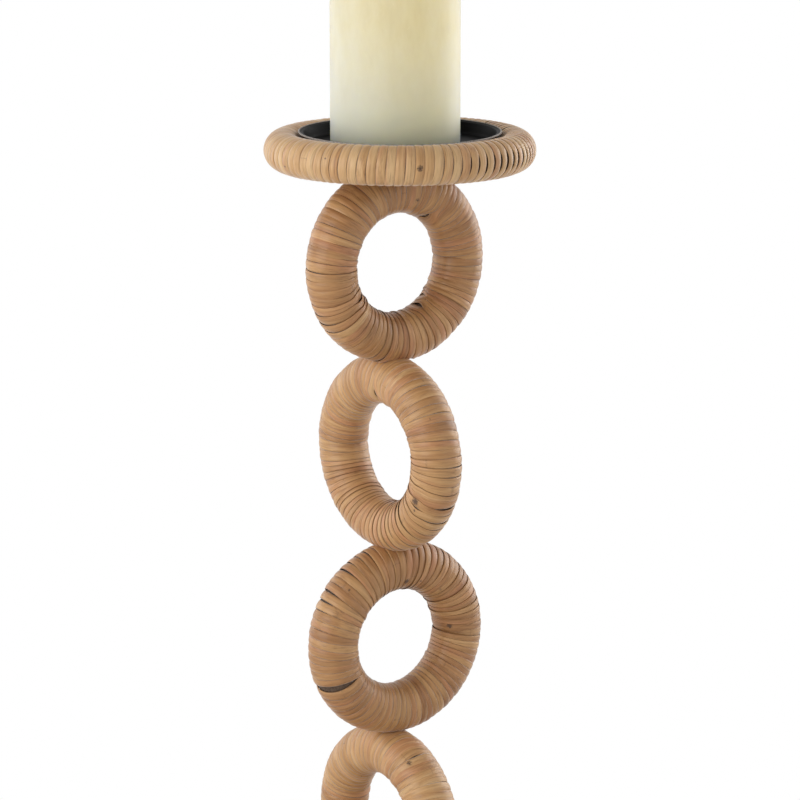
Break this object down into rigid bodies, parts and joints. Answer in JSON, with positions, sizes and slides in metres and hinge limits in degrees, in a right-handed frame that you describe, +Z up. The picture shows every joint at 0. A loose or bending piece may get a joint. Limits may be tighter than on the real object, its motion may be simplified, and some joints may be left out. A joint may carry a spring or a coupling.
{
  "type": "candle stand",
  "caption": "Tall candle stand of cane-bound rings stacked on edge, turned by a quarter from ring to ring, with a round tray, a black drip pan and a pillar candle.",
  "frame": {"origin": "on the table at the middle of the foot, under the felt", "axes": "+Z up through the stack; the first and third rings lie near the XZ plane and the second and fourth near the YZ plane, counted from the top"},
  "size_m": [0.1764, 0.1764, 0.6579],
  "materials": {
    "candle_wax": "waxy satin",
    "wick_cotton": "waxed cotton",
    "black_metal": "semi-gloss black",
    "board_wood": "plain board",
    "core_wood": "planed, hidden",
    "dowel_wood": "plain, hidden",
    "cane": "varnished cane",
    "screw_steel": "zinc plated",
    "weight_iron": "painted black",
    "felt": "pressed felt"
  },
  "bodies": {
    "stand": {"drip_pan": "black_metal", "tray_board": "board_wood", "tray_wrap": "cane", "tray_core": "core_wood", "board_screws": "screw_steel", "joint_dowels": "dowel_wood", "foot_wrap": "cane", "foot_core": "core_wood", "foot_board": "board_wood", "foot_weight": "weight_iron", "foot_felt": "felt", "ring_1_wrap": "cane", "ring_1_core": "core_wood", "ring_2_wrap": "cane", "ring_2_core": "core_wood", "ring_3_wrap": "cane", "ring_3_core": "core_wood", "ring_4_wrap": "cane", "ring_4_core": "core_wood"},
    "candle": {"pillar_candle": "candle_wax", "candle_wick": "wick_cotton"}
  },
  "joints": [
    {"name": "candle_lift", "type": "slide", "parent": "stand", "child": "candle", "axis": [0, 0, 1], "range_m": [0, 0.06]}
  ]
}
